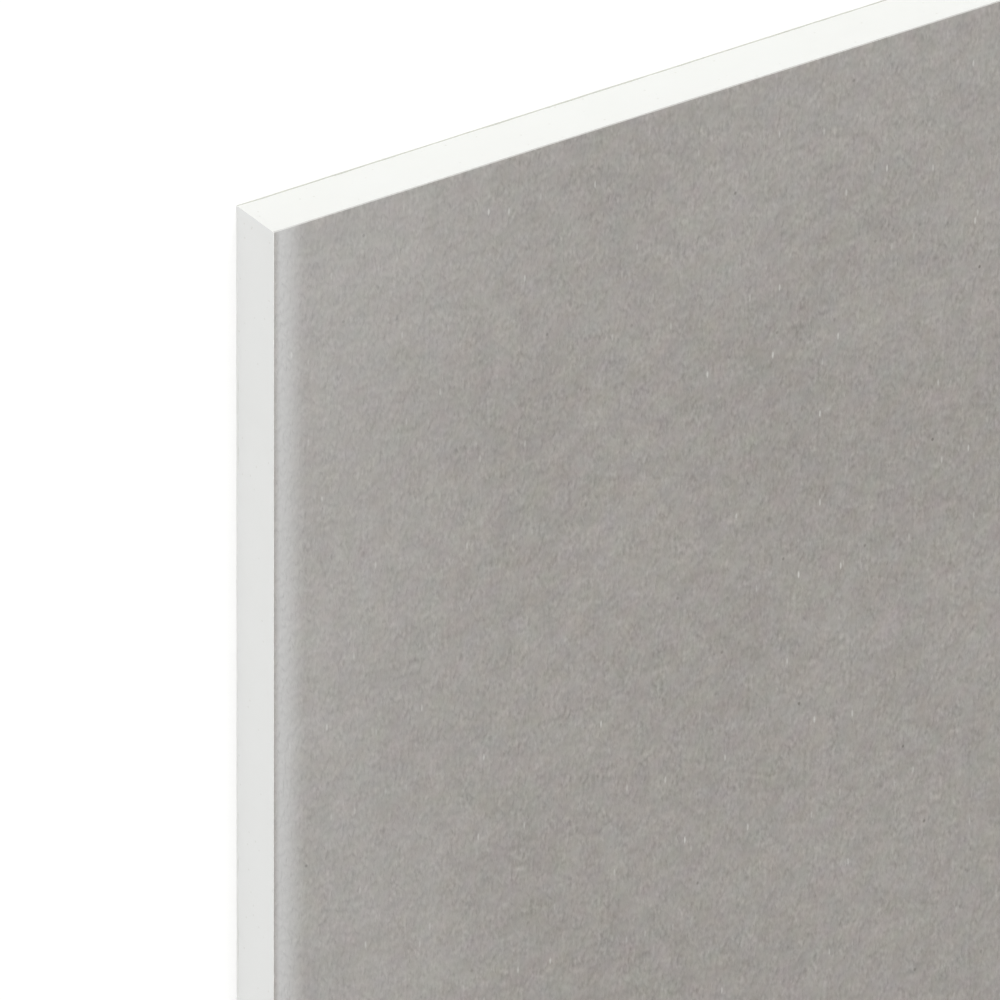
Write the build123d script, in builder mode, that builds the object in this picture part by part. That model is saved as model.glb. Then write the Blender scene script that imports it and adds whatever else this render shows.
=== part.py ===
from build123d import *
import os

# A square-edge sheet of gypsum drywall, lying flat with its grey face paper up.
# X runs across the sheet, Y along it and Z through it. The origin is the centre of the underside.

# Driving dimensions, in millimetres
SHEET_WIDTH = 900.0
SHEET_LENGTH = 1220.0
SHEET_THICKNESS = 12.5
FACE_PAPER_THICKNESS = 0.3
BACK_PAPER_THICKNESS = 0.3

# Levels of the two glue lines, above the underside
BACK_GLUE_LINE = BACK_PAPER_THICKNESS
FACE_GLUE_LINE = SHEET_THICKNESS - FACE_PAPER_THICKNESS

# Back paper: the liner under the core, cut flush with it on all four sides
with BuildPart() as back_paper:
    with BuildSketch(Plane.XY):
        Rectangle(SHEET_WIDTH, SHEET_LENGTH)
    extrude(amount=BACK_PAPER_THICKNESS)
back_paper.part.label = "back_paper"

# Gypsum core: one cast slab from glue line to glue line, bare on all four cut sides
with BuildPart() as gypsum_core:
    with BuildSketch(Plane.XY.offset(BACK_GLUE_LINE)):
        Rectangle(SHEET_WIDTH, SHEET_LENGTH)
    extrude(amount=FACE_GLUE_LINE - BACK_GLUE_LINE)
gypsum_core.part.label = "gypsum_core"

# Face paper: the grey liner on top of the core, cut flush with it on all four sides
with BuildPart() as face_paper:
    with BuildSketch(Plane.XY.offset(FACE_GLUE_LINE)):
        Rectangle(SHEET_WIDTH, SHEET_LENGTH)
    extrude(amount=FACE_PAPER_THICKNESS)
face_paper.part.label = "face_paper"

os.makedirs("parts", exist_ok=True)
export_step(back_paper.part, "parts/back_paper.step")
export_step(gypsum_core.part, "parts/gypsum_core.step")
export_step(face_paper.part, "parts/face_paper.step")
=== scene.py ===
"""Dresses a packed sheet of gypsum drywall: its cut core, its two papers, the light and the camera."""

import logging
import math
from dataclasses import dataclass
from enum import Enum

import bpy
import numpy as np
from mathutils import Matrix, Vector


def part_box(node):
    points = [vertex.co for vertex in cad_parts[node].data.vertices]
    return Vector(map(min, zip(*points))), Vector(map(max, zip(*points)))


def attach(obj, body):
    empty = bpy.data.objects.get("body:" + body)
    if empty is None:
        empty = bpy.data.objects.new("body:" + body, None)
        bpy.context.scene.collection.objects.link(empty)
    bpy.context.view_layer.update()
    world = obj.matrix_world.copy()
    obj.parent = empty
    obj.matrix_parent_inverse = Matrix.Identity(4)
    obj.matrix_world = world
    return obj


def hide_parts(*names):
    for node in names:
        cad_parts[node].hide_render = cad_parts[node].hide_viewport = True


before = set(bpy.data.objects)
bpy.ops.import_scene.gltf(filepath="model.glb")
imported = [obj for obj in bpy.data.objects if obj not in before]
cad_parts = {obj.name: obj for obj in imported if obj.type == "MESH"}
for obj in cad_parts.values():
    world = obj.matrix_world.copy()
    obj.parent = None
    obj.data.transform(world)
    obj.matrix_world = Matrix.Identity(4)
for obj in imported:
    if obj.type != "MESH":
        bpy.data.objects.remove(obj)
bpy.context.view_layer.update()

MM = 0.001
SHARP_ANGLE = math.radians(40)
log = logging.getLogger("drywall_sheet")


class Layer(Enum):
    """The three bonded layers, by their CAD node."""

    BACK_PAPER = "back_paper"
    CORE = "gypsum_core"
    FACE_PAPER = "face_paper"


class OuterFace(Enum):
    """Which way a paper's free face looks."""

    UP = 1
    DOWN = -1


class Curve(Enum):
    """How a level changes on its way from one value to another, as Map Range names it."""

    STRAIGHT = "LINEAR"
    SMOOTH = "SMOOTHSTEP"
    SMOOTHEST = "SMOOTHERSTEP"


def linear_colour(hex_code: str) -> tuple[float, float, float, float]:
    """Turns an sRGB hex colour to the linear RGBA that shaders take.

    Args:
        hex_code: Six hex digits, such as "A29F9B".

    Returns:
        Linear red, green and blue, and an alpha of 1.
    """
    levels = np.array([int(hex_code[i:i + 2], 16) for i in (0, 2, 4)]) / 255
    linear = np.where(levels <= 0.04045, levels / 12.92, ((levels + 0.055) / 1.055) ** 2.4)
    return (*linear.tolist(), 1.0)


def blank_material(name: str) -> bpy.types.Material:
    """Makes a material whose node tree is empty.

    Args:
        name: The material's name.

    Returns:
        The new material.
    """
    material = bpy.data.materials.new(name)
    material.use_nodes = True
    material.node_tree.nodes.clear()
    return material


def add_node(tree: bpy.types.NodeTree, kind: str, settings: dict | None = None,
             inputs: dict | None = None) -> bpy.types.Node:
    """Adds one shader node with its settings and links.

    Args:
        tree: The node tree that it joins.
        kind: The node's type name.
        settings: Its properties, by name.
        inputs: Its inputs, by name or number. A socket is linked and anything else is set.

    Returns:
        The new node.
    """
    node = tree.nodes.new(kind)
    for name, value in (settings or {}).items():
        setattr(node, name, value)
    for name, value in (inputs or {}).items():
        if isinstance(value, bpy.types.NodeSocket):
            tree.links.new(value, node.inputs[name])
        else:
            node.inputs[name].default_value = value
    return node


def place_in_millimetres(tree: bpy.types.NodeTree) -> bpy.types.NodeSocket:
    """Reads the place on the object, so that a pattern's scale is one over its real size.

    Args:
        tree: The node tree.

    Returns:
        The place, in millimetres from the centre of the sheet's underside.
    """
    place = add_node(tree, "ShaderNodeTexCoord").outputs["Object"]
    return add_node(tree, "ShaderNodeVectorMath", {"operation": "SCALE"},
                    {0: place, "Scale": 1 / MM}).outputs["Vector"]


def smooth_relief(shape: tuple[int, int], cell: tuple[float, float], reach: tuple[float, float],
                  rng: np.random.Generator) -> np.ndarray:
    """Draws a smooth random height field that wraps round both ways.

    White noise is blurred by a Gaussian, by multiplying its spectrum by the Gaussian's own, and is then
    scaled to a mean of 0 and a spread of 1.

    Args:
        shape: Rows and columns.
        cell: The distance between rows and between columns, in metres.
        reach: The blur's spread across the rows and along the columns, in metres.
        rng: The random generator.

    Returns:
        The heights, rows by columns.
    """
    waves_across = np.fft.fftfreq(shape[0], d=cell[0])[:, None]
    waves_along = np.fft.rfftfreq(shape[1], d=cell[1])[None, :]
    blur = np.exp(-2 * np.pi ** 2 * ((waves_across * reach[0]) ** 2 + (waves_along * reach[1]) ** 2))
    field = np.fft.irfft2(np.fft.rfft2(rng.standard_normal(shape)) * blur, s=shape)
    return (field - field.mean()) / field.std()


@dataclass(frozen=True)
class CutOutline:
    """The sheet's four cut sides as one closed path, anticlockwise seen from above.

    Attributes:
        points: Places on the rectangle, columns by 2, in metres.
        inward: The way into the sheet at each place, for each metre of inset, columns by 2.
        steadiness: 1 along the sides and 0 at the corners, where the four sides' relief has to meet.
        spacing: The distance between places, in metres.
    """

    points: np.ndarray
    inward: np.ndarray
    steadiness: np.ndarray
    spacing: float

    @classmethod
    def round_box(cls, low: Vector, high: Vector, spacing: float, corner_run: float) -> "CutOutline":
        """Lays places round a box's plan.

        Each side is a straight run from corner to corner, divided evenly. A corner's way in is the sum of
        its two sides' ways in, so that an inset ring stays square. The steadiness is a smooth step of the
        distance to the nearer corner over the corner run.

        Args:
            low: The box's lowest corner.
            high: The box's highest corner.
            spacing: The wanted distance between places, in metres.
            corner_run: How far from a corner the relief is at full depth, in metres.

        Returns:
            The closed path.
        """
        corners = np.array([(low.x, low.y), (high.x, low.y), (high.x, high.y), (low.x, high.y)])
        points, inward, steadiness = [], [], []
        for start, end in zip(corners, np.roll(corners, -1, axis=0)):
            length = np.linalg.norm(end - start)
            count = round(length / spacing)
            share = np.arange(count)[:, None] / count
            ahead = (end - start) / length
            ways_in = np.tile((-ahead[1], ahead[0]), (count, 1))
            ways_in[0] += ahead
            points.append(start + share * (end - start))
            inward.append(ways_in)
            nearer = np.clip(np.minimum(share, 1 - share)[:, 0] * length / corner_run, 0, 1)
            steadiness.append(nearer ** 2 * (3 - 2 * nearer))
        return cls(np.concatenate(points), np.concatenate(inward), np.concatenate(steadiness), spacing)

    def ring(self, level: float, depth: np.ndarray) -> np.ndarray:
        """Gives the path at one level, each place moved into the sheet by its depth.

        Args:
            level: The height, in metres.
            depth: The move at each place, in metres.

        Returns:
            The ring's points, columns by 3.
        """
        plan = self.points + self.inward * depth[:, None]
        return np.column_stack([plan, np.full(len(plan), level)])


def closed_slab(name: str, rings: np.ndarray) -> bpy.types.Object:
    """Makes a closed slab from rings stacked from its underside to its top.

    Quads join each ring to the next one, and one flat cap closes each end. Edges past the sharp angle,
    such as those round a square-cut cap, are shaded sharp.

    Args:
        name: The new piece's name.
        rings: The points, rings by columns by 3, anticlockwise seen from above.

    Returns:
        The new object, at the origin.
    """
    count, columns, _ = rings.shape
    here = np.arange(count * columns).reshape(count, columns)
    beside = np.roll(here, -1, axis=1)
    sides = np.stack([here[:-1], beside[:-1], beside[1:], here[1:]], axis=-1).reshape(-1, 4)
    caps = [here[0, ::-1].tolist(), here[-1].tolist()]
    mesh = bpy.data.meshes.new(name)
    mesh.from_pydata(rings.reshape(-1, 3), [], sides.tolist() + caps)
    mesh.polygons.foreach_set("use_smooth", np.ones(len(mesh.polygons), dtype=bool))
    mesh.set_sharp_from_angle(angle=SHARP_ANGLE)
    mesh.update()
    piece = bpy.data.objects.new(name, mesh)
    bpy.context.scene.collection.objects.link(piece)
    return piece


@dataclass(frozen=True)
class Fade:
    """A level that changes with the distance in from a cut side.

    Attributes:
        from_mm: Where the change starts.
        to_mm: Where it ends.
        from_level: The level at its start.
        to_level: The level at its end and further in.
        curve: How the level changes on the way.
    """

    from_mm: float
    to_mm: float
    from_level: float
    to_level: float
    curve: Curve = Curve.SMOOTH

    def settings(self) -> dict:
        """Gives Map Range's settings."""
        return {"interpolation_type": self.curve.value}

    def inputs(self, distance: bpy.types.NodeSocket) -> dict:
        """Gives Map Range's inputs.

        Args:
            distance: The distance in from the side, in millimetres.

        Returns:
            The inputs, by name.
        """
        return {"Value": distance, "From Min": self.from_mm, "From Max": self.to_mm,
                "To Min": self.from_level, "To Max": self.to_level}


@dataclass(frozen=True)
class PaleMargin:
    """A lighter colour towards the edges of a sheet's face.

    A narrow band lies along each long edge and is palest about 2 mm in. A broad faint one is under it,
    and a fainter one still lies along each end.

    Attributes:
        hex_code: The colour where it is palest.
        rise: The share of the long edge's bands that shows near the arris.
        band: The narrow band.
        broad_band: The broad band under it.
        end_band: The band along the ends.
    """

    hex_code: str = "C6C6C6"
    rise: Fade = Fade(-0.2, 1.7, 0.15, 1.0)
    band: Fade = Fade(1.4, 8.0, 0.65, 0.0)
    broad_band: Fade = Fade(-40.0, 85.0, 0.26, 0.0, Curve.SMOOTHEST)
    end_band: Fade = Fade(-60.0, 110.0, 0.12, 0.0, Curve.SMOOTHEST)


@dataclass(frozen=True)
class Specks:
    """One kind of speck in the paper.

    Attributes:
        hex_code: Their colour.
        radius_mm: How far the colour reaches from a speck's middle, across the sheet.
        spacing_mm: The size of the cells, each of which has room for one.
        shift_mm: How far the cells are moved, so that two kinds don't share theirs.
        squeeze: The pattern's scale along the sheet. Below 1 it draws the specks out.
        rarity: The random level below which a cell stays empty.
        full_from: The random level from which a speck is at its strongest.
        strongest: The share of its colour that the strongest one has.
        solid_share: The share of its radius within which its colour is even.
    """

    hex_code: str
    radius_mm: float
    spacing_mm: float
    shift_mm: float
    squeeze: float
    rarity: float
    full_from: float = 0.95
    strongest: float = 0.85
    solid_share: float = 0.4


@dataclass(frozen=True)
class LinerPaper:
    """Recycled liner board, rolled on a cylinder mould and left uncoated.

    To the eye it is a dull warm grey with short soft fibres lying mostly along the sheet, faint clouds
    where the pulp is thicker, a few thin pale fibres and dark specks, and a paler margin at its edges.

    A real fibre is about 0.03 mm wide and its relief is finer still, and neither would show. Both are
    drawn coarser, to the size of the finest grain that the eye makes out on the sheet.

    Attributes:
        name: The material's name.
        dark_hex: The colour of its thin places.
        light_hex: The colour of its thick places.
        margin: Its pale margin, if it has one.
        specks: The kinds of speck in it.
        dust_hex: The colour of the gypsum dust on its cut sides.
        long_side_dust: How much of it lies on the two long sides.
        end_dust: How much of it lies on the two ends.
        fibre_slants: How far each layer of fibres is turned from the sheet's length, in degrees.
        fibre_width_mm: How wide a drawn fibre is.
        fibre_length_mm: How long it is.
        fibre_height_mm: How high it stands.
        fibre_foot: The level of the noise below which there is no fibre.
        fibre_crown: The level of the noise from which a fibre is at its full height.
        fibre_weight: How much the fibres' height lightens the tone.
        pulp_mm: The size across the sheet of the finest grain of the pulp.
        pulp_stretch: How many times as long that grain is along the sheet.
        pulp_weight: How much the grain changes the tone.
        patch_mm: The size of the patches in which the grain is stronger or weaker.
        patch_weakest: How strong it is in the weakest patches.
        patch_strongest: How strong it is in the strongest patches.
        floc_mm: The size of the flocs, where the pulp has clumped.
        floc_weight: How much the flocs change the tone.
        cloud_mm: The size of the broad clouds.
        cloud_weight: How much the clouds change the tone.
        tint_mm: The size of the faint tints.
        tint_strength: How strong the tints are.
        roughness: How matt it is.
    """

    name: str
    dark_hex: str
    light_hex: str
    margin: PaleMargin | None = None
    specks: tuple[Specks, ...] = (
        Specks("C9C8C4", radius_mm=0.3, spacing_mm=5.0, shift_mm=0.0, squeeze=0.3, rarity=0.57),
        Specks("6B6863", radius_mm=0.42, spacing_mm=14.0, shift_mm=5.0, squeeze=0.85, rarity=0.6),
    )
    dust_hex: str = "F5F6F4"
    long_side_dust: Fade = Fade(0.1, 0.18, 0.96, 0.0, Curve.STRAIGHT)
    end_dust: Fade = Fade(0.1, 0.18, 0.48, 0.0, Curve.STRAIGHT)
    fibre_slants: tuple[float, ...] = (-4.0, 18.0)
    fibre_width_mm: float = 0.86
    fibre_length_mm: float = 1.9
    fibre_height_mm: float = 0.2
    fibre_foot: float = 0.3
    fibre_crown: float = 0.76
    fibre_weight: float = 0.12
    pulp_mm: float = 0.74
    pulp_stretch: float = 1.8
    pulp_weight: float = 0.58
    patch_mm: float = 4.0
    patch_weakest: float = 0.2
    patch_strongest: float = 1.8
    floc_mm: float = 5.2
    floc_weight: float = 0.56
    cloud_mm: float = 45.0
    cloud_weight: float = 0.34
    tint_mm: float = 7.5
    tint_strength: float = 0.068
    roughness: float = 0.88

    def material(self, half_width: float, half_length: float) -> bpy.types.Material:
        """Builds the node tree.

        Args:
            half_width: Half the sheet's width, in metres.
            half_length: Half its length, in metres.

        Returns:
            The new material.
        """
        material = blank_material(self.name)
        tree = material.node_tree
        place = place_in_millimetres(tree)
        fibres = self.fibres(tree, place)
        colour = self.tint(tree, place, self.tone(tree, place, fibres))
        colour = self.scatter(tree, place, colour)
        from_side, from_end = self.insets(tree, place, half_width, half_length)
        if self.margin:
            colour = self.pale_margin(tree, from_side, from_end, colour)
        colour = self.dusted(tree, from_side, from_end, colour)
        bump = add_node(tree, "ShaderNodeBump", {}, {
            "Strength": 1.0, "Distance": self.fibre_height_mm * MM, "Height": fibres})
        shader = add_node(tree, "ShaderNodeBsdfPrincipled", {}, {
            "Base Color": colour, "Roughness": self.roughness, "Specular IOR Level": 0.25,
            "Normal": bump.outputs["Normal"]})
        add_node(tree, "ShaderNodeOutputMaterial", {}, {"Surface": shader.outputs["BSDF"]})
        return material

    def fibres(self, tree: bpy.types.NodeTree, place: bpy.types.NodeSocket) -> bpy.types.NodeSocket:
        """Lays short soft fibres along the sheet, in layers at slight slants.

        Each layer is a smooth noise drawn out along its slant, of which the low places are cut away and
        the high ones are levelled off. The height is the layers' mean.

        Args:
            tree: The node tree.
            place: The place on the sheet, in millimetres.

        Returns:
            The height of the fibres, about 0.5 on average.
        """
        total = 0.0
        for slant in self.fibre_slants:
            turned = add_node(tree, "ShaderNodeMapping", {"vector_type": "TEXTURE"}, {
                "Vector": place, "Rotation": (0, 0, math.radians(slant)),
                "Scale": (self.fibre_width_mm, self.fibre_length_mm, 1.0)})
            noise = add_node(tree, "ShaderNodeTexNoise", {"noise_dimensions": "2D"}, {
                "Vector": turned.outputs["Vector"], "Scale": 1.0, "Detail": 0.6, "Roughness": 0.5})
            proud = add_node(tree, "ShaderNodeMapRange", {"interpolation_type": "SMOOTHSTEP"}, {
                "Value": noise.outputs["Fac"], "From Min": self.fibre_foot,
                "From Max": self.fibre_crown})
            total = add_node(tree, "ShaderNodeMath", {"operation": "MULTIPLY_ADD"}, {
                0: proud.outputs["Result"], 1: 1 / len(self.fibre_slants), 2: total}).outputs["Value"]
        return total

    def tone(self, tree: bpy.types.NodeTree, place: bpy.types.NodeSocket,
             fibres: bpy.types.NodeSocket) -> bpy.types.NodeSocket:
        """Mixes the dark and light greys by the flocs, the grain of the pulp, the fibres and the clouds.

        The share of the light grey is a half plus each pattern's weight times its height above a half.
        The grain's weight goes up and down in small patches, where the pulp was pressed harder or less.

        Args:
            tree: The node tree.
            place: The place on the sheet, in millimetres.
            fibres: The height of the fibres, about 0.5 on average.

        Returns:
            The paper's colour before its tints and specks.
        """
        flocs = add_node(tree, "ShaderNodeTexNoise", {"noise_dimensions": "2D"}, {
            "Vector": place, "Scale": 1 / self.floc_mm, "Detail": 2.0, "Roughness": 0.8})
        drawn_out = add_node(tree, "ShaderNodeMapping", {"vector_type": "TEXTURE"}, {
            "Vector": place, "Scale": (self.pulp_mm, self.pulp_mm * self.pulp_stretch, 1.0)})
        pulp = add_node(tree, "ShaderNodeTexNoise", {"noise_dimensions": "2D"}, {
            "Vector": drawn_out.outputs["Vector"], "Scale": 1.0, "Detail": 1.0, "Roughness": 0.5})
        patches = add_node(tree, "ShaderNodeTexNoise", {"noise_dimensions": "2D"}, {
            "Vector": place, "Scale": 1 / self.patch_mm, "Detail": 2.0, "Roughness": 0.6})
        pulp_weight = add_node(tree, "ShaderNodeMapRange", {}, {
            "Value": patches.outputs["Fac"], "From Min": 0.3, "From Max": 0.7,
            "To Min": self.pulp_weight * self.patch_weakest,
            "To Max": self.pulp_weight * self.patch_strongest}).outputs["Result"]
        clouds = add_node(tree, "ShaderNodeTexNoise", {"noise_dimensions": "2D"}, {
            "Vector": place, "Scale": 1 / self.cloud_mm, "Detail": 2.0, "Roughness": 0.6})
        weighed = ((flocs.outputs["Fac"], self.floc_weight), (pulp.outputs["Fac"], pulp_weight),
                   (fibres, self.fibre_weight), (clouds.outputs["Fac"], self.cloud_weight))
        total = 0.5
        for height, weight in weighed:
            above_half = add_node(tree, "ShaderNodeMath", {"operation": "SUBTRACT"}, {0: height, 1: 0.5})
            total = add_node(tree, "ShaderNodeMath", {"operation": "MULTIPLY_ADD"}, {
                0: above_half.outputs["Value"], 1: weight, 2: total}).outputs["Value"]
        return add_node(tree, "ShaderNodeMix", {"data_type": "RGBA"}, {
            "Factor": total, 6: linear_colour(self.dark_hex), 7: linear_colour(self.light_hex)}).outputs[2]

    def tint(self, tree: bpy.types.NodeTree, place: bpy.types.NodeSocket,
             colour: bpy.types.NodeSocket) -> bpy.types.NodeSocket:
        """Tints the paper faintly this way and that, as mixed waste fibre does.

        The noise's three channels wander apart from each other, and soft light leaves their middle as
        it is.

        Args:
            tree: The node tree.
            place: The place on the sheet, in millimetres.
            colour: The colour to tint.

        Returns:
            The tinted colour.
        """
        hue = add_node(tree, "ShaderNodeTexNoise", {"noise_dimensions": "2D"}, {
            "Vector": place, "Scale": 1 / self.tint_mm, "Detail": 2.0, "Roughness": 0.75})
        return add_node(tree, "ShaderNodeMix", {"data_type": "RGBA", "blend_type": "SOFT_LIGHT"}, {
            "Factor": self.tint_strength, 6: colour, 7: hue.outputs["Color"]}).outputs[2]

    def scatter(self, tree: bpy.types.NodeTree, place: bpy.types.NodeSocket,
                colour: bpy.types.NodeSocket) -> bpy.types.NodeSocket:
        """Scatters thin pale fibres, which lie along the sheet, and dark specks.

        Each cell of a 2D Voronoi pattern holds one at its seed, which shows within its radius. The cell's
        random colour sets how strong it is, and leaves the cells below the kind's rarity empty.

        Args:
            tree: The node tree.
            place: The place on the sheet, in millimetres.
            colour: The colour under the specks.

        Returns:
            The colour with the specks.
        """
        for kind in self.specks:
            moved = add_node(tree, "ShaderNodeMapping", {}, {
                "Vector": place, "Location": (kind.shift_mm, kind.shift_mm, 0),
                "Scale": (1.0, kind.squeeze, 1.0)})
            cells = add_node(tree, "ShaderNodeTexVoronoi", {"voronoi_dimensions": "2D"}, {
                "Vector": moved.outputs["Vector"], "Scale": 1 / kind.spacing_mm})
            strength = add_node(tree, "ShaderNodeMapRange", {}, {
                "Value": cells.outputs["Color"], "From Min": kind.rarity, "From Max": kind.full_from,
                "To Max": kind.strongest})
            radius = kind.radius_mm / kind.spacing_mm
            shown = add_node(tree, "ShaderNodeMapRange", {"interpolation_type": "SMOOTHSTEP"}, {
                "Value": cells.outputs["Distance"], "From Min": radius * kind.solid_share,
                "From Max": radius, "To Min": strength.outputs["Result"], "To Max": 0.0})
            colour = add_node(tree, "ShaderNodeMix", {"data_type": "RGBA"}, {
                "Factor": shown.outputs["Result"], 6: colour, 7: linear_colour(kind.hex_code)}).outputs[2]
        return colour

    def insets(self, tree: bpy.types.NodeTree, place: bpy.types.NodeSocket, half_width: float,
               half_length: float) -> tuple[bpy.types.NodeSocket, bpy.types.NodeSocket]:
        """Measures how far in a place lies from the nearer long side and from the nearer end.

        Args:
            tree: The node tree.
            place: The place on the sheet, in millimetres.
            half_width: Half the sheet's width, in metres.
            half_length: Half its length, in metres.

        Returns:
            The two distances, in millimetres.
        """
        off_centre = add_node(tree, "ShaderNodeVectorMath", {"operation": "ABSOLUTE"}, {0: place})
        inset = add_node(tree, "ShaderNodeVectorMath", {"operation": "SUBTRACT"}, {
            0: (half_width / MM, half_length / MM, 0.0), 1: off_centre.outputs["Vector"]})
        parts = add_node(tree, "ShaderNodeSeparateXYZ", {}, {0: inset.outputs["Vector"]})
        return parts.outputs["X"], parts.outputs["Y"]

    def pale_margin(self, tree: bpy.types.NodeTree, from_side: bpy.types.NodeSocket,
                    from_end: bpy.types.NodeSocket, colour: bpy.types.NodeSocket) -> bpy.types.NodeSocket:
        """Lightens the paper towards its edges.

        The share of the pale colour is the sum of the two bands at the long edge, times their rise, plus
        the end's band.

        Args:
            tree: The node tree.
            from_side: The distance in from the nearer long side, in millimetres.
            from_end: The distance in from the nearer end, in millimetres.
            colour: The colour of the plain paper.

        Returns:
            The colour with its margin.
        """
        margin = self.margin
        rise, band, broad_band, end_band = (
            add_node(tree, "ShaderNodeMapRange", fade.settings(), fade.inputs(distance)).outputs["Result"]
            for fade, distance in ((margin.rise, from_side), (margin.band, from_side),
                                   (margin.broad_band, from_side), (margin.end_band, from_end)))
        both = add_node(tree, "ShaderNodeMath", {"operation": "ADD"}, {0: band, 1: broad_band})
        share = add_node(tree, "ShaderNodeMath", {"operation": "MULTIPLY_ADD"}, {
            0: both.outputs["Value"], 1: rise, 2: end_band})
        return add_node(tree, "ShaderNodeMix", {"data_type": "RGBA"}, {
            "Factor": share.outputs["Value"], 6: colour, 7: linear_colour(margin.hex_code)}).outputs[2]

    def dusted(self, tree: bpy.types.NodeTree, from_side: bpy.types.NodeSocket,
               from_end: bpy.types.NodeSocket, colour: bpy.types.NodeSocket) -> bpy.types.NodeSocket:
        """Leaves gypsum dust on the paper's cut sides.

        Args:
            tree: The node tree.
            from_side: The distance in from the nearer long side, in millimetres.
            from_end: The distance in from the nearer end, in millimetres.
            colour: The colour of the clean paper.

        Returns:
            The colour with the dust.
        """
        for fade, distance in ((self.long_side_dust, from_side), (self.end_dust, from_end)):
            dust = add_node(tree, "ShaderNodeMapRange", fade.settings(), fade.inputs(distance))
            colour = add_node(tree, "ShaderNodeMix", {"data_type": "RGBA"}, {
                "Factor": dust.outputs["Result"], 6: colour, 7: linear_colour(self.dust_hex)}).outputs[2]
        return colour


@dataclass(frozen=True)
class CutGypsum:
    """Set gypsum plaster, cast between the papers and sawn square.

    To the eye it is a clean chalky white, quite matt, with a very fine crumb and a few pinhole pores,
    whose hollows are darkened by painted shade.

    Its crystals are about 0.02 mm long, and would not show. The crumb is drawn coarser, as the saw leaves
    it.

    Attributes:
        name: The material's name.
        chalk_hex: Its main colour.
        shade_hex: The colour of its faint clouds.
        pore_shade_hex: The colour inside a pore, a painted shade in its hollow.
        cloud_mm: The size of the clouds.
        crumb_mm: The size of the crumb.
        crumb_height_mm: How high the crumb stands.
        pore_radius_mm: How wide a pore is, from its middle.
        pore_floor_share: The share of its radius that is its floor.
        pore_depth: How deep it is, as a share of the crumb's height, and how much of its painted shade
            shows.
        pore_spacing_mm: How far apart the pores are.
        roughness: How matt it is.
    """

    name: str = "cast_gypsum_sawn"
    chalk_hex: str = "F5F6F5"
    shade_hex: str = "F2F3F1"
    pore_shade_hex: str = "E6E6E2"
    cloud_mm: float = 12.5
    crumb_mm: float = 0.35
    crumb_height_mm: float = 0.006
    pore_radius_mm: float = 0.29
    pore_floor_share: float = 0.45
    pore_depth: float = 0.7
    pore_spacing_mm: float = 2.6
    roughness: float = 0.9

    def material(self) -> bpy.types.Material:
        """Builds the node tree.

        Returns:
            The new material.
        """
        material = blank_material(self.name)
        tree = material.node_tree
        place = place_in_millimetres(tree)
        clouds = add_node(tree, "ShaderNodeTexNoise", {}, {
            "Vector": place, "Scale": 1 / self.cloud_mm, "Detail": 3.0, "Roughness": 0.55})
        chalk = add_node(tree, "ShaderNodeMix", {"data_type": "RGBA"}, {
            "Factor": clouds.outputs["Fac"], 6: linear_colour(self.shade_hex),
            7: linear_colour(self.chalk_hex)})
        cells = add_node(tree, "ShaderNodeTexVoronoi", {}, {
            "Vector": place, "Scale": 1 / self.pore_spacing_mm})
        radius = self.pore_radius_mm / self.pore_spacing_mm
        pore = add_node(tree, "ShaderNodeMapRange", {"interpolation_type": "SMOOTHSTEP"}, {
            "Value": cells.outputs["Distance"], "From Min": radius * self.pore_floor_share,
            "From Max": radius, "To Min": self.pore_depth, "To Max": 0.0})
        # Painted shade darkens each pore; its hollow is also in the bump.
        colour = add_node(tree, "ShaderNodeMix", {"data_type": "RGBA"}, {
            "Factor": pore.outputs["Result"], 6: chalk.outputs[2], 7: linear_colour(self.pore_shade_hex)})
        crumb = add_node(tree, "ShaderNodeTexNoise", {}, {
            "Vector": place, "Scale": 1 / self.crumb_mm, "Detail": 2.0, "Roughness": 0.6})
        height = add_node(tree, "ShaderNodeMath", {"operation": "SUBTRACT"}, {
            0: crumb.outputs["Fac"], 1: pore.outputs["Result"]})
        bump = add_node(tree, "ShaderNodeBump", {}, {
            "Strength": 1.0, "Distance": self.crumb_height_mm * MM, "Height": height.outputs["Value"]})
        shader = add_node(tree, "ShaderNodeBsdfPrincipled", {}, {
            "Base Color": colour.outputs[2], "Roughness": self.roughness, "Specular IOR Level": 0.3,
            "Normal": bump.outputs["Normal"]})
        add_node(tree, "ShaderNodeOutputMaterial", {}, {"Surface": shader.outputs["BSDF"]})
        return material


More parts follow.
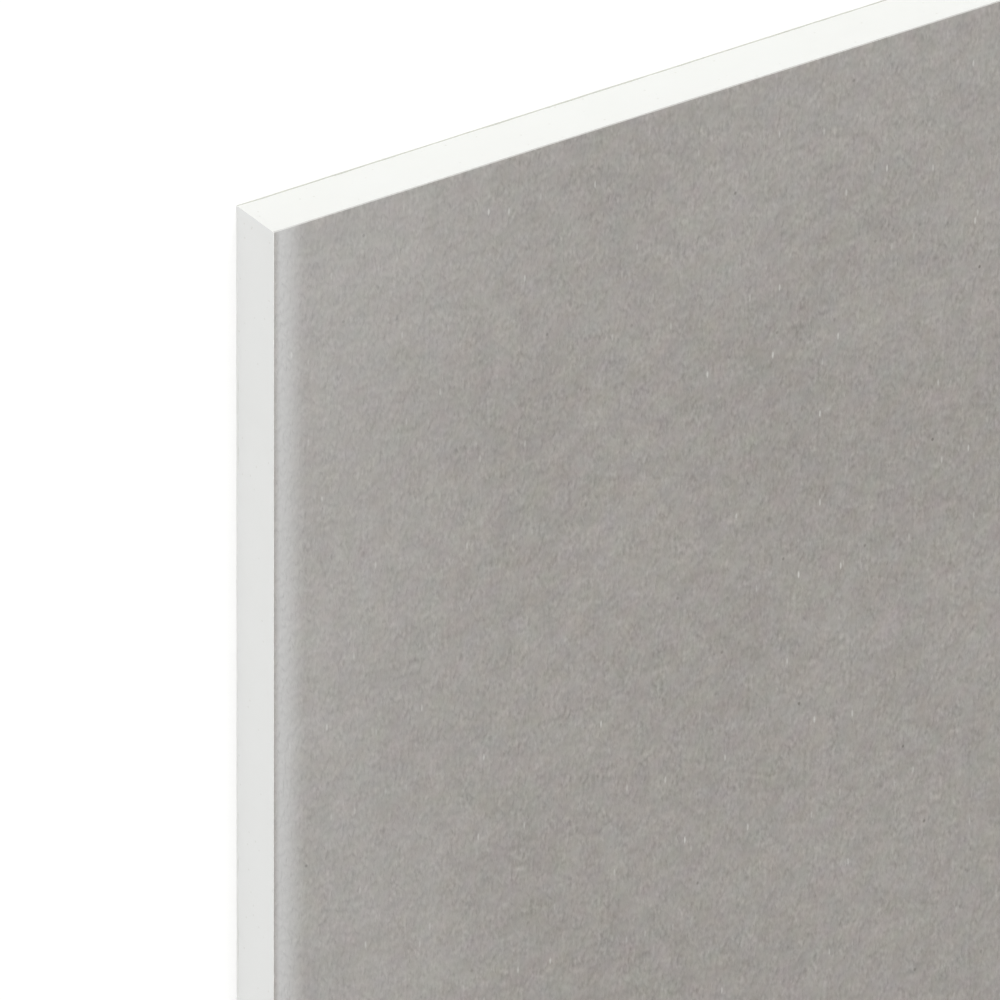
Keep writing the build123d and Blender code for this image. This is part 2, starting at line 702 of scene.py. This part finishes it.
@dataclass
class GypsumCore:
    """The cast core, with the fine unevenness that the saw left on its four sides.

    Attributes:
        spacing: The distance between places round the sheet, in metres.
        row_height: The distance between rows, in metres.
        corner_run: How far from a corner the relief is at full depth, in metres.
        crumble: The spread of the fine crumb's depth, in metres.
        crumble_reach: The crumb's size through the sheet and round it, in metres.
        wander: The spread of the saw's slow wander, in metres.
        wander_reach: The wander's size through the sheet and round it, in metres.
        seed: Where the random fields start.
    """

    spacing: float = 1.0 * MM
    row_height: float = 0.85 * MM
    corner_run: float = 3.0 * MM
    crumble: float = 0.02 * MM
    crumble_reach: tuple[float, float] = (0.7 * MM, 0.9 * MM)
    wander: float = 0.03 * MM
    wander_reach: tuple[float, float] = (6 * MM, 14 * MM)
    seed: int = 11

    def build(self) -> bpy.types.Object:
        """Makes the core's closed mesh in its node's room.

        The depth of each place is a fine crumb plus a slow wander of the saw, both smooth random fields,
        shifted so that the proudest place just reaches the CAD side.

        Returns:
            The core.
        """
        low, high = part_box(Layer.CORE.value)
        outline = CutOutline.round_box(low, high, self.spacing, self.corner_run)
        levels = np.linspace(low.z, high.z, round((high.z - low.z) / self.row_height) + 1)
        shape = (len(levels), len(outline.points))
        cell = (levels[1] - levels[0], outline.spacing)
        rng = np.random.default_rng(self.seed)
        relief = self.crumble * smooth_relief(shape, cell, self.crumble_reach, rng)
        relief += self.wander * smooth_relief(shape, cell, self.wander_reach, rng)
        depth = (relief - relief.min()) * outline.steadiness
        rings = np.stack([outline.ring(level, row) for level, row in zip(levels, depth)])
        return closed_slab("sawn_gypsum_core", rings)


@dataclass
class PaperLayer:
    """One paper, trimmed with the core, with a slightly ragged cut edge and a soft outer arris.

    Attributes:
        layer: Which paper it is.
        outer_face: Which way its free face looks.
        arris_radius: The radius of its outer arris, in metres.
        rim: The width of the flat strip inside the arris, in metres.
        ragged: The spread of the cut edge's depth, in metres.
        ragged_reach: The size of the raggedness round the sheet, in metres.
        spacing: The distance between places round the sheet, in metres.
        corner_run: How far from a corner the raggedness is at full depth, in metres.
        arris_steps: How many facets round off the arris.
        seed: Where the random field starts.
    """

    layer: Layer
    outer_face: OuterFace
    arris_radius: float
    rim: float = 0.5 * MM
    ragged: float = 0.012 * MM
    ragged_reach: float = 1.6 * MM
    spacing: float = 1.0 * MM
    corner_run: float = 3.0 * MM
    arris_steps: int = 4
    seed: int = 23

    def build(self) -> bpy.types.Object:
        """Makes the paper's closed mesh in its node's room.

        From the glue line the edge rises straight to the arris, a quarter circle of the arris radius, and
        then runs in flat over the rim, so that the arris doesn't shade the open face. The whole section
        moves in and out along the path by a smooth random field.

        Returns:
            The paper.
        """
        low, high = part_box(self.layer.value)
        outline = CutOutline.round_box(low, high, self.spacing, self.corner_run)
        rng = np.random.default_rng(self.seed)
        shape = (1, len(outline.points))
        waver = smooth_relief(shape, (1.0, outline.spacing), (0.0, self.ragged_reach), rng)[0]
        depth = self.ragged * (waver - waver.min()) * outline.steadiness
        thickness = high.z - low.z
        turn = np.linspace(0, math.pi / 2, self.arris_steps + 1)
        arris_inset = self.arris_radius * (1 - np.cos(turn))
        arris_height = thickness - self.arris_radius * (1 - np.sin(turn))
        inset = np.concatenate([[0.0], arris_inset, [self.arris_radius + self.rim]])
        height = np.concatenate([[0.0], arris_height, [thickness]])
        if self.outer_face is OuterFace.UP:
            levels = low.z + height
        else:
            levels = (high.z - height)[::-1]
            inset = inset[::-1]
        rings = np.stack([outline.ring(level, depth + step) for level, step in zip(levels, inset)])
        return closed_slab(f"trimmed_{self.layer.value}", rings)


@dataclass
class DrywallSheet:
    """The whole sheet: core, face paper and back paper.

    Attributes:
        half_width: Half its width, in metres.
        half_length: Half its length, in metres.
        face_liner: The face paper's finish.
        back_liner: The back paper's finish, a little paler and greener.
        gypsum: The core's finish.
        face_arris: The radius of the face paper's arris, which handling has softened, in metres.
        back_arris: The radius of the back paper's arris, in metres.
    """

    half_width: float
    half_length: float
    face_liner: LinerPaper = LinerPaper("grey_liner_board_uncoated", "888480", "B0ACA8", PaleMargin())
    back_liner: LinerPaper = LinerPaper("grey_liner_board_back", "A0A193", "BDBEB1")
    gypsum: CutGypsum = CutGypsum()
    face_arris: float = 0.1 * MM
    back_arris: float = 0.02 * MM

    def build(self) -> list[bpy.types.Object]:
        """Makes and dresses the three layers.

        Returns:
            The pieces.
        """
        size = (self.half_width, self.half_length)
        face = PaperLayer(Layer.FACE_PAPER, OuterFace.UP, self.face_arris)
        back = PaperLayer(Layer.BACK_PAPER, OuterFace.DOWN, self.back_arris, seed=29)
        made = [
            (GypsumCore().build(), self.gypsum.material(), Layer.CORE),
            (face.build(), self.face_liner.material(*size), Layer.FACE_PAPER),
            (back.build(), self.back_liner.material(*size), Layer.BACK_PAPER),
        ]
        for piece, material, layer in made:
            piece.data.materials.append(material)
            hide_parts(layer.value)
            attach(piece, "root")
            log.info("%s stands for %s, with %d faces", piece.name, layer.value, len(piece.data.polygons))
        return [piece for piece, _, _ in made]


def seen_by_eye(tree: bpy.types.NodeTree) -> bpy.types.NodeSocket:
    """Tells rays that show a background, straight, mirrored or through glass, from rays that light things.

    Args:
        tree: The node tree.

    Returns:
        1 for the first kind and 0 for the second.
    """
    path = add_node(tree, "ShaderNodeLightPath")
    mirrored = add_node(tree, "ShaderNodeMath", {"operation": "MAXIMUM"}, {
        0: path.outputs["Is Camera Ray"], 1: path.outputs["Is Glossy Ray"]})
    return add_node(tree, "ShaderNodeMath", {"operation": "MAXIMUM"}, {
        0: mirrored.outputs["Value"], 1: path.outputs["Is Transmission Ray"]}).outputs["Value"]


@dataclass(frozen=True)
class StudioFloor:
    """A plain white floor that keeps the sheet's soft shadow and melts into the white round it.

    Attributes:
        half_width: Half the sheet's width, in metres.
        half_length: Half its length, in metres.
        half_size: Half the floor's side, in metres.
        gap: How far it lies under the sheet, in metres.
        bounce_hex: Its colour for the light that it throws back.
        shown_hex: Its colour for the eye, near the sheet.
        shown_lift: What it adds to that, where 1 is full white.
        shadow_reach: How far from the sheet it starts to melt into white, in metres.
        white_from: How far from the sheet it is all white, in metres.
    """

    half_width: float
    half_length: float
    half_size: float = 40.0
    gap: float = 0.02 * MM
    bounce_hex: str = "E8E8E8"
    shown_hex: str = "FCFCFC"
    shown_lift: float = 0.06
    shadow_reach: float = 0.03
    white_from: float = 0.3

    def build(self) -> bpy.types.Object:
        """Lays the floor just under the sheet.

        Returns:
            The floor.
        """
        mesh = bpy.data.meshes.new("studio_floor")
        corners = np.array([(-1, -1), (1, -1), (1, 1), (-1, 1)]) * self.half_size
        mesh.from_pydata(np.column_stack([corners, np.full(4, -self.gap)]), [], [(0, 1, 2, 3)])
        mesh.materials.append(self.material())
        floor = bpy.data.objects.new("studio_floor", mesh)
        bpy.context.scene.collection.objects.link(floor)
        return floor

    def material(self) -> bpy.types.Material:
        """Builds a matt white that the eye sees as lit near the sheet and as pure white far off.

        Returns:
            The new material.
        """
        material = blank_material("matt_white_floor")
        tree = material.node_tree
        place = add_node(tree, "ShaderNodeTexCoord").outputs["Object"]
        off_centre = add_node(tree, "ShaderNodeVectorMath", {"operation": "ABSOLUTE"}, {0: place})
        beyond = add_node(tree, "ShaderNodeVectorMath", {"operation": "SUBTRACT"}, {
            0: off_centre.outputs["Vector"], 1: (self.half_width, self.half_length, 0.0)})
        outside = add_node(tree, "ShaderNodeVectorMath", {"operation": "MAXIMUM"}, {
            0: beyond.outputs["Vector"], 1: (0.0, 0.0, 0.0)})
        distance = add_node(tree, "ShaderNodeVectorMath", {"operation": "LENGTH"}, {
            0: outside.outputs["Vector"]})
        far = add_node(tree, "ShaderNodeMapRange", {"interpolation_type": "SMOOTHSTEP"}, {
            "Value": distance.outputs["Value"], "From Min": self.shadow_reach,
            "From Max": self.white_from})
        bounce = add_node(tree, "ShaderNodeBsdfDiffuse", {}, {"Color": linear_colour(self.bounce_hex)})
        lit = add_node(tree, "ShaderNodeBsdfDiffuse", {}, {"Color": linear_colour(self.shown_hex)})
        lift = add_node(tree, "ShaderNodeEmission", {}, {"Strength": self.shown_lift})
        near = add_node(tree, "ShaderNodeAddShader", {}, {
            0: lit.outputs["BSDF"], 1: lift.outputs["Emission"]})
        white = add_node(tree, "ShaderNodeEmission", {}, {"Strength": 1.0})
        shown = add_node(tree, "ShaderNodeMixShader", {}, {
            "Fac": far.outputs["Result"], 1: near.outputs["Shader"], 2: white.outputs["Emission"]})
        mixed = add_node(tree, "ShaderNodeMixShader", {}, {
            "Fac": seen_by_eye(tree), 1: bounce.outputs["BSDF"], 2: shown.outputs["Shader"]})
        add_node(tree, "ShaderNodeOutputMaterial", {}, {"Surface": mixed.outputs["Shader"]})
        return material


def direction(azimuth: float, elevation: float) -> Vector:
    """Gives the way from the sheet to a viewer or lamp.

    Args:
        azimuth: Degrees round the sheet. 0 stands at -Y and looks along +Y, and 90 stands at +X.
        elevation: Degrees above the floor.

    Returns:
        A unit vector.
    """
    turn, rise = math.radians(azimuth), math.radians(elevation)
    return Vector((math.sin(turn) * math.cos(rise), -math.cos(turn) * math.cos(rise), math.sin(rise)))


@dataclass(frozen=True)
class SoftLamp:
    """A large square soft lamp aimed at the sheet.

    Attributes:
        name: The lamp's name.
        azimuth: Where it hangs round the sheet, in degrees.
        elevation: How high it hangs, in degrees above the floor.
        share: What it adds to a white card that faces it, where 1 is full white.
        tint_hex: The colour of its light.
        distance: How far off it hangs, in metres.
        size: The length of its side, in metres.
    """

    name: str
    azimuth: float
    elevation: float
    share: float
    tint_hex: str
    distance: float = 9.0
    size: float = 5.0

    def build(self, target: Vector) -> bpy.types.Object:
        """Hangs the lamp.

        A flat lamp of power P lights a card that faces it at distance d to P / (pi d)^2 of full white.

        Args:
            target: The point that it is aimed at.

        Returns:
            The lamp.
        """
        light = bpy.data.lights.new(self.name, "AREA")
        light.shape = "SQUARE"
        light.size = self.size
        light.energy = self.share * (math.pi * self.distance) ** 2
        light.color = linear_colour(self.tint_hex)[:3]
        lamp = bpy.data.objects.new(self.name, light)
        away = direction(self.azimuth, self.elevation)
        lamp.location = target + away * self.distance
        lamp.rotation_euler = away.to_track_quat("Z", "Y").to_euler()
        lamp.visible_camera = False
        lamp.visible_glossy = False
        bpy.context.scene.collection.objects.link(lamp)
        return lamp


@dataclass(frozen=True)
class Studio:
    """Plain soft light: a white room and two soft lamps, the stronger one beyond the sheet's far end.

    Attributes:
        room_strength: How much the room lights things, where 1 is full white.
        lamps: The lamps.
    """

    room_strength: float = 0.62
    lamps: tuple[SoftLamp, ...] = (
        SoftLamp("end_soft_lamp", azimuth=180.0, elevation=43.5, share=0.42, tint_hex="FFFFFA"),
        SoftLamp("side_soft_lamp", azimuth=270.0, elevation=42.6, share=0.155, tint_hex="FFFDFF"),
    )

    def build(self, target: Vector) -> None:
        """Sets the colour transform, the room's light and the lamps.

        Args:
            target: The point that the lamps are aimed at.
        """
        scene = bpy.context.scene
        scene.view_settings.view_transform = "Standard"
        world = bpy.data.worlds.new("white_room")
        world.use_nodes = True
        scene.world = world
        tree = world.node_tree
        tree.nodes.clear()
        strength = add_node(tree, "ShaderNodeMapRange", {}, {
            "Value": seen_by_eye(tree), "To Min": self.room_strength, "To Max": 1.0})
        background = add_node(tree, "ShaderNodeBackground", {}, {
            "Color": (1, 1, 1, 1), "Strength": strength.outputs["Result"]})
        add_node(tree, "ShaderNodeOutputWorld", {}, {"Surface": background.outputs["Background"]})
        for lamp in self.lamps:
            lamp.build(target)


@dataclass(frozen=True)
class PhotoCamera:
    """The photograph's view: nearly parallel, onto the corner where the -X side meets the +Y end.

    Attributes:
        azimuth: Where the camera stands round the sheet, in degrees.
        elevation: How high it stands, in degrees above the floor.
        roll: How far it is turned round its own axis, in degrees.
        lens_mm: Its focal length.
        sensor_mm: The width of its sensor.
        image_size: The width and height of the picture, in pixels.
        corner_column: The corner's place in the picture, from the left, in pixels.
        corner_row: The corner's place in the picture, from the top, in pixels.
        pixels_per_metre: The picture's scale at the corner.
    """

    azimuth: float = 224.885
    elevation: float = 46.232
    roll: float = 126.23
    lens_mm: float = 1000.0
    sensor_mm: float = 36.0
    image_size: float = 1000.0
    corner_column: float = 273.4
    corner_row: float = 232.4
    pixels_per_metre: float = 5370.2

    def build(self, corner: Vector) -> bpy.types.Object:
        """Places the camera so that the corner falls on its own pixel at the photograph's scale.

        Args:
            corner: The corner on the face's arris, in metres.

        Returns:
            The camera.
        """
        back = direction(self.azimuth, self.elevation)
        level_right = Vector((0, 0, 1)).cross(back).normalized()
        level_up = back.cross(level_right)
        turn = math.radians(self.roll)
        right = level_right * math.cos(turn) + level_up * math.sin(turn)
        up = level_up * math.cos(turn) - level_right * math.sin(turn)
        distance = self.image_size * self.lens_mm / self.sensor_mm / self.pixels_per_metre
        middle = self.image_size / 2
        across = (self.corner_column - middle) / self.pixels_per_metre
        above = (middle - self.corner_row) / self.pixels_per_metre
        place = corner - right * across - up * above + back * distance
        data = bpy.data.cameras.new("photo_camera")
        data.lens = self.lens_mm
        data.sensor_width = self.sensor_mm
        data.clip_start = 0.1
        data.clip_end = 100.0
        camera = bpy.data.objects.new("photo_camera", data)
        camera.matrix_world = Matrix.Translation(place) @ Matrix((right, up, back)).transposed().to_4x4()
        bpy.context.scene.collection.objects.link(camera)
        bpy.context.scene.camera = camera
        return camera


def main() -> None:
    """Builds the camera, the sheet and the studio."""
    logging.basicConfig(level=logging.INFO, format="%(name)s: %(message)s")
    face_low, face_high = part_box(Layer.FACE_PAPER.value)
    PhotoCamera().build(Vector((face_low.x, face_high.y, face_high.z)))
    DrywallSheet(half_width=face_high.x, half_length=face_high.y).build()
    Studio().build(target=Vector((0, 0, face_high.z)))
    StudioFloor(half_width=face_high.x, half_length=face_high.y).build()


if __name__ == "__main__":
    main()
